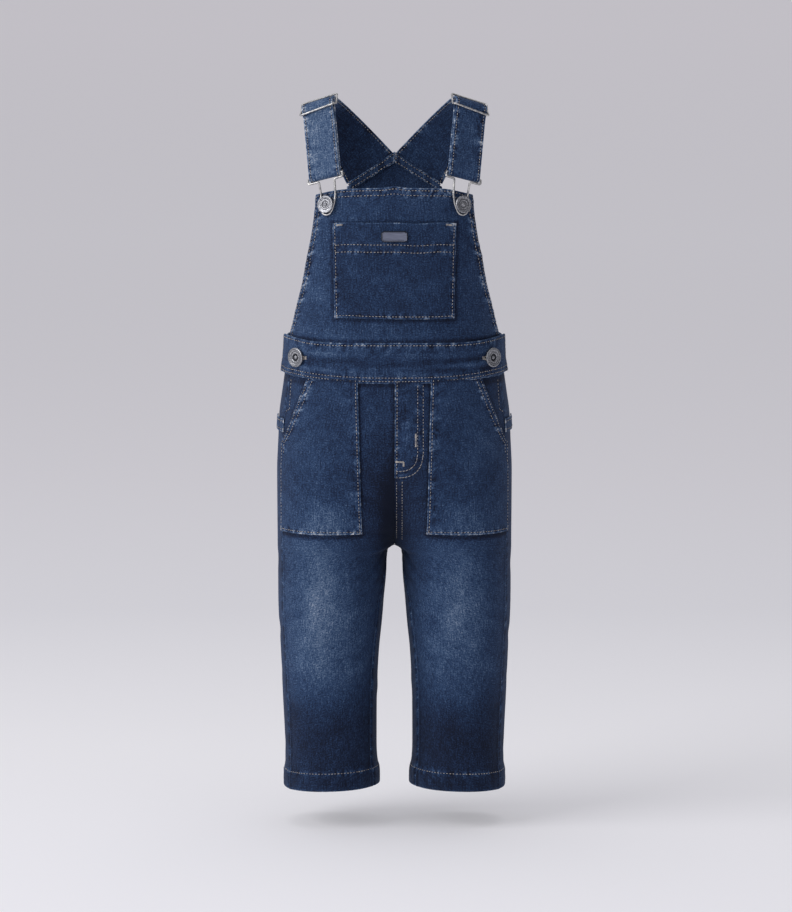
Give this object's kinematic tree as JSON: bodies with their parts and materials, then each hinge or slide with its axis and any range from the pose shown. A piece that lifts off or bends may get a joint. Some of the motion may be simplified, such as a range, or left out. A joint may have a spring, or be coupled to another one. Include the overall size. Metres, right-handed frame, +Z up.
{
  "type": "kids dungarees",
  "caption": "Small child's denim dungarees, worn shape and hollow: a pocketed bib hangs from shoulder straps with wire slides and clips, over a buttoned waistband and straight legs.",
  "frame": {"origin": "midway between the two shoulder straps, level with their undersides at the top of the shoulders, where the wearer carries the garment", "axes": "+Z up, front of the garment toward -Y, +X toward the wearer's left"},
  "size_m": [0.2118, 0.1694, 0.6271],
  "materials": {
    "denim": "washed indigo cotton twill, faded at the thighs and along its seams",
    "steel_wire": "nickel-plated steel wire",
    "button_metal": "aged nickel over zinc alloy",
    "badge_metal": "brushed pewter-coloured zinc alloy"
  },
  "bodies": {
    "root": {"front_leg_left": "denim", "front_leg_right": "denim", "back_leg_left": "denim", "back_leg_right": "denim", "fly": "denim", "waistband_front": "denim", "waistband_back": "denim", "bib": "denim", "bib_pocket": "denim", "patch_pocket_left": "denim", "patch_pocket_right": "denim", "side_loop_left": "denim", "side_loop_right": "denim", "back_panel": "denim", "back_facing_left": "denim", "back_facing_right": "denim", "strap_left": "denim", "strap_right": "denim", "slider_left": "steel_wire", "slider_right": "steel_wire", "slider_bar_left": "steel_wire", "slider_bar_right": "steel_wire", "bib_clip_left": "steel_wire", "bib_clip_right": "steel_wire", "bib_button_left": "button_metal", "bib_button_right": "button_metal", "waist_button_left": "button_metal", "waist_button_right": "button_metal", "bib_badge": "badge_metal"}
  },
  "joints": []
}
